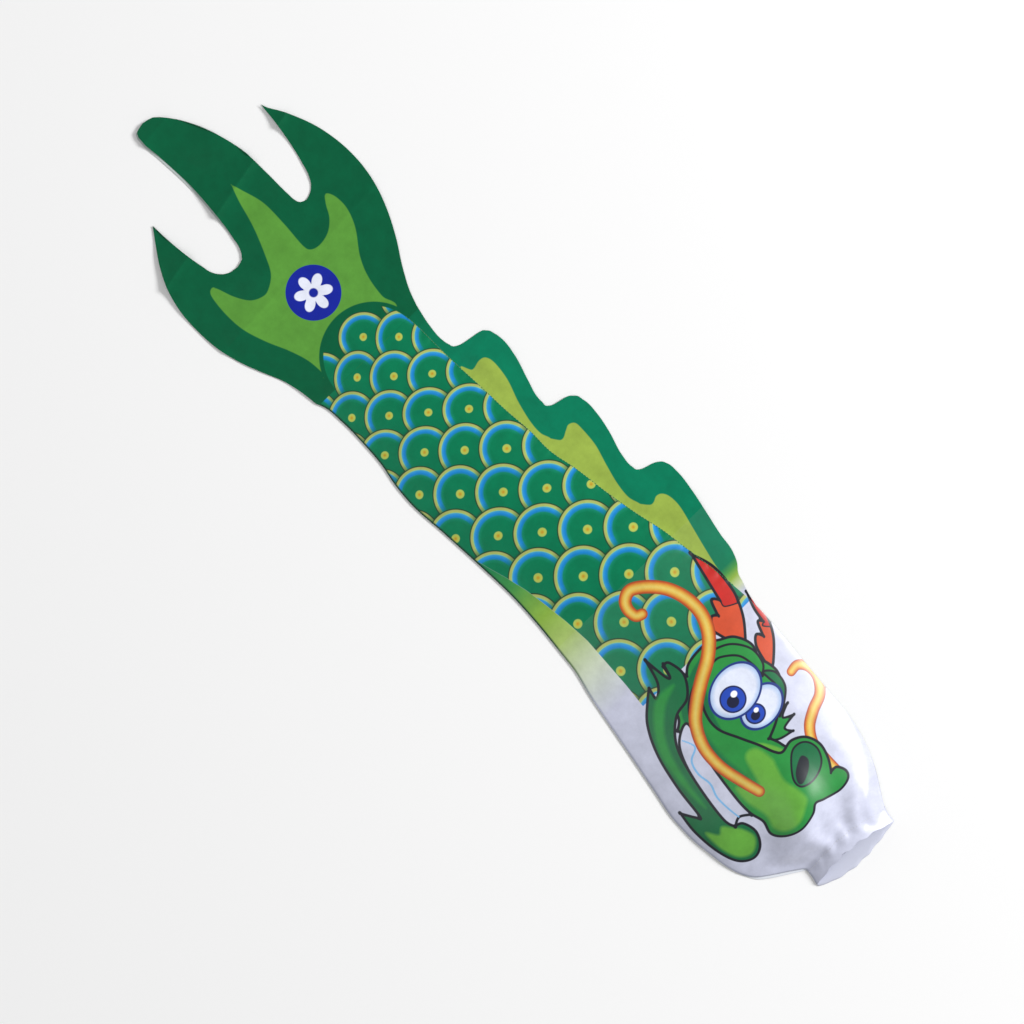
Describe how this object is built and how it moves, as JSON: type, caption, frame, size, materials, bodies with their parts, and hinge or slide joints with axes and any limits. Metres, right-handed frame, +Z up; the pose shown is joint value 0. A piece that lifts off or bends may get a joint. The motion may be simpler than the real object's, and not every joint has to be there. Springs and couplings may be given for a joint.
{
  "type": "carp streamer",
  "caption": "Flat-laid cloth windsock in the shape of a scaled dragon-carp: sewn tube with gathered mouth, waved back fin and a loose two-layer tail with three prongs.",
  "frame": {"origin": "centre of the bounding box on the surface that the streamer lies on", "axes": "+X along the streamer towards the mouth, +Y across it towards the fin, +Z up from the far panel to the near panel"},
  "size_m": [1.2, 0.2882, 0.0451],
  "materials": {
    "satin_body": "dye-printed polyester satin, soft gloss",
    "satin_tail": "dye-printed polyester satin, soft gloss",
    "satin_hem": "white polyester satin, soft gloss",
    "seam_allowance": "unprinted reverse of the satin, matt",
    "thread_green": "polyester sewing thread",
    "thread_white": "polyester sewing thread",
    "elastic": "woven elastic tape, matt"
  },
  "bodies": {
    "head": {"near_panel_head": "satin_body", "far_panel_head": "satin_body", "belly_seam_head": "seam_allowance", "back_seam_head": "seam_allowance", "mouth_casing": "satin_hem", "mouth_elastic": "elastic", "casing_stitch": "thread_white"},
    "front": {"near_panel_front": "satin_body", "far_panel_front": "satin_body", "belly_seam_front": "seam_allowance", "fin_stitch_front": "thread_green"},
    "middle": {"near_panel_middle": "satin_body", "far_panel_middle": "satin_body", "belly_seam_middle": "seam_allowance", "fin_stitch_middle": "thread_green"},
    "rear": {"near_panel_rear": "satin_body", "far_panel_rear": "satin_body", "belly_seam_rear": "seam_allowance", "fin_stitch_rear": "thread_green"},
    "near_tail": {"near_tail_fan": "satin_tail"},
    "far_tail": {"far_tail_fan": "satin_tail"},
    "near_upper": {"near_upper_prong": "satin_tail"},
    "near_middle": {"near_middle_prong": "satin_tail"},
    "near_lower": {"near_lower_prong": "satin_tail"},
    "far_upper": {"far_upper_prong": "satin_tail"},
    "far_middle": {"far_middle_prong": "satin_tail"},
    "far_lower": {"far_lower_prong": "satin_tail"}
  },
  "joints": [
    {"name": "neck_bend", "type": "hinge", "parent": "head", "child": "front", "pos_m": [0.258, -0.017, 0.01235], "axis": [0, 1, 0], "range_deg": [-45, 45]},
    {"name": "waist_bend", "type": "hinge", "parent": "front", "child": "middle", "pos_m": [0.089, -0.017, 0.00885], "axis": [0, 1, 0], "range_deg": [-45, 45]},
    {"name": "rear_bend", "type": "hinge", "parent": "middle", "child": "rear", "pos_m": [-0.037, -0.017, 0.00735], "axis": [0, 1, 0], "range_deg": [-45, 45]},
    {"name": "near_tail_lift", "type": "hinge", "parent": "rear", "child": "near_tail", "pos_m": [-0.226, -0.017, 0.0021], "axis": [0, 1, 0], "range_deg": [0, 60]},
    {"name": "far_tail_drop", "type": "hinge", "parent": "rear", "child": "far_tail", "pos_m": [-0.226, -0.017, 0.0006], "axis": [0, 1, 0], "range_deg": [-60, 0]},
    {"name": "near_upper_curl", "type": "hinge", "parent": "near_tail", "child": "near_upper", "pos_m": [-0.426, -0.017, 0.0021], "axis": [0, 1, 0], "range_deg": [0, 60]},
    {"name": "near_middle_curl", "type": "hinge", "parent": "near_tail", "child": "near_middle", "pos_m": [-0.426, -0.017, 0.0021], "axis": [0, 1, 0], "range_deg": [0, 60]},
    {"name": "near_lower_curl", "type": "hinge", "parent": "near_tail", "child": "near_lower", "pos_m": [-0.426, -0.017, 0.0021], "axis": [0, 1, 0], "range_deg": [0, 60]},
    {"name": "far_upper_curl", "type": "hinge", "parent": "far_tail", "child": "far_upper", "pos_m": [-0.426, -0.017, 0.0006], "axis": [0, 1, 0], "range_deg": [-60, 0]},
    {"name": "far_middle_curl", "type": "hinge", "parent": "far_tail", "child": "far_middle", "pos_m": [-0.426, -0.017, 0.0006], "axis": [0, 1, 0], "range_deg": [-60, 0]},
    {"name": "far_lower_curl", "type": "hinge", "parent": "far_tail", "child": "far_lower", "pos_m": [-0.426, -0.017, 0.0006], "axis": [0, 1, 0], "range_deg": [-60, 0]}
  ]
}
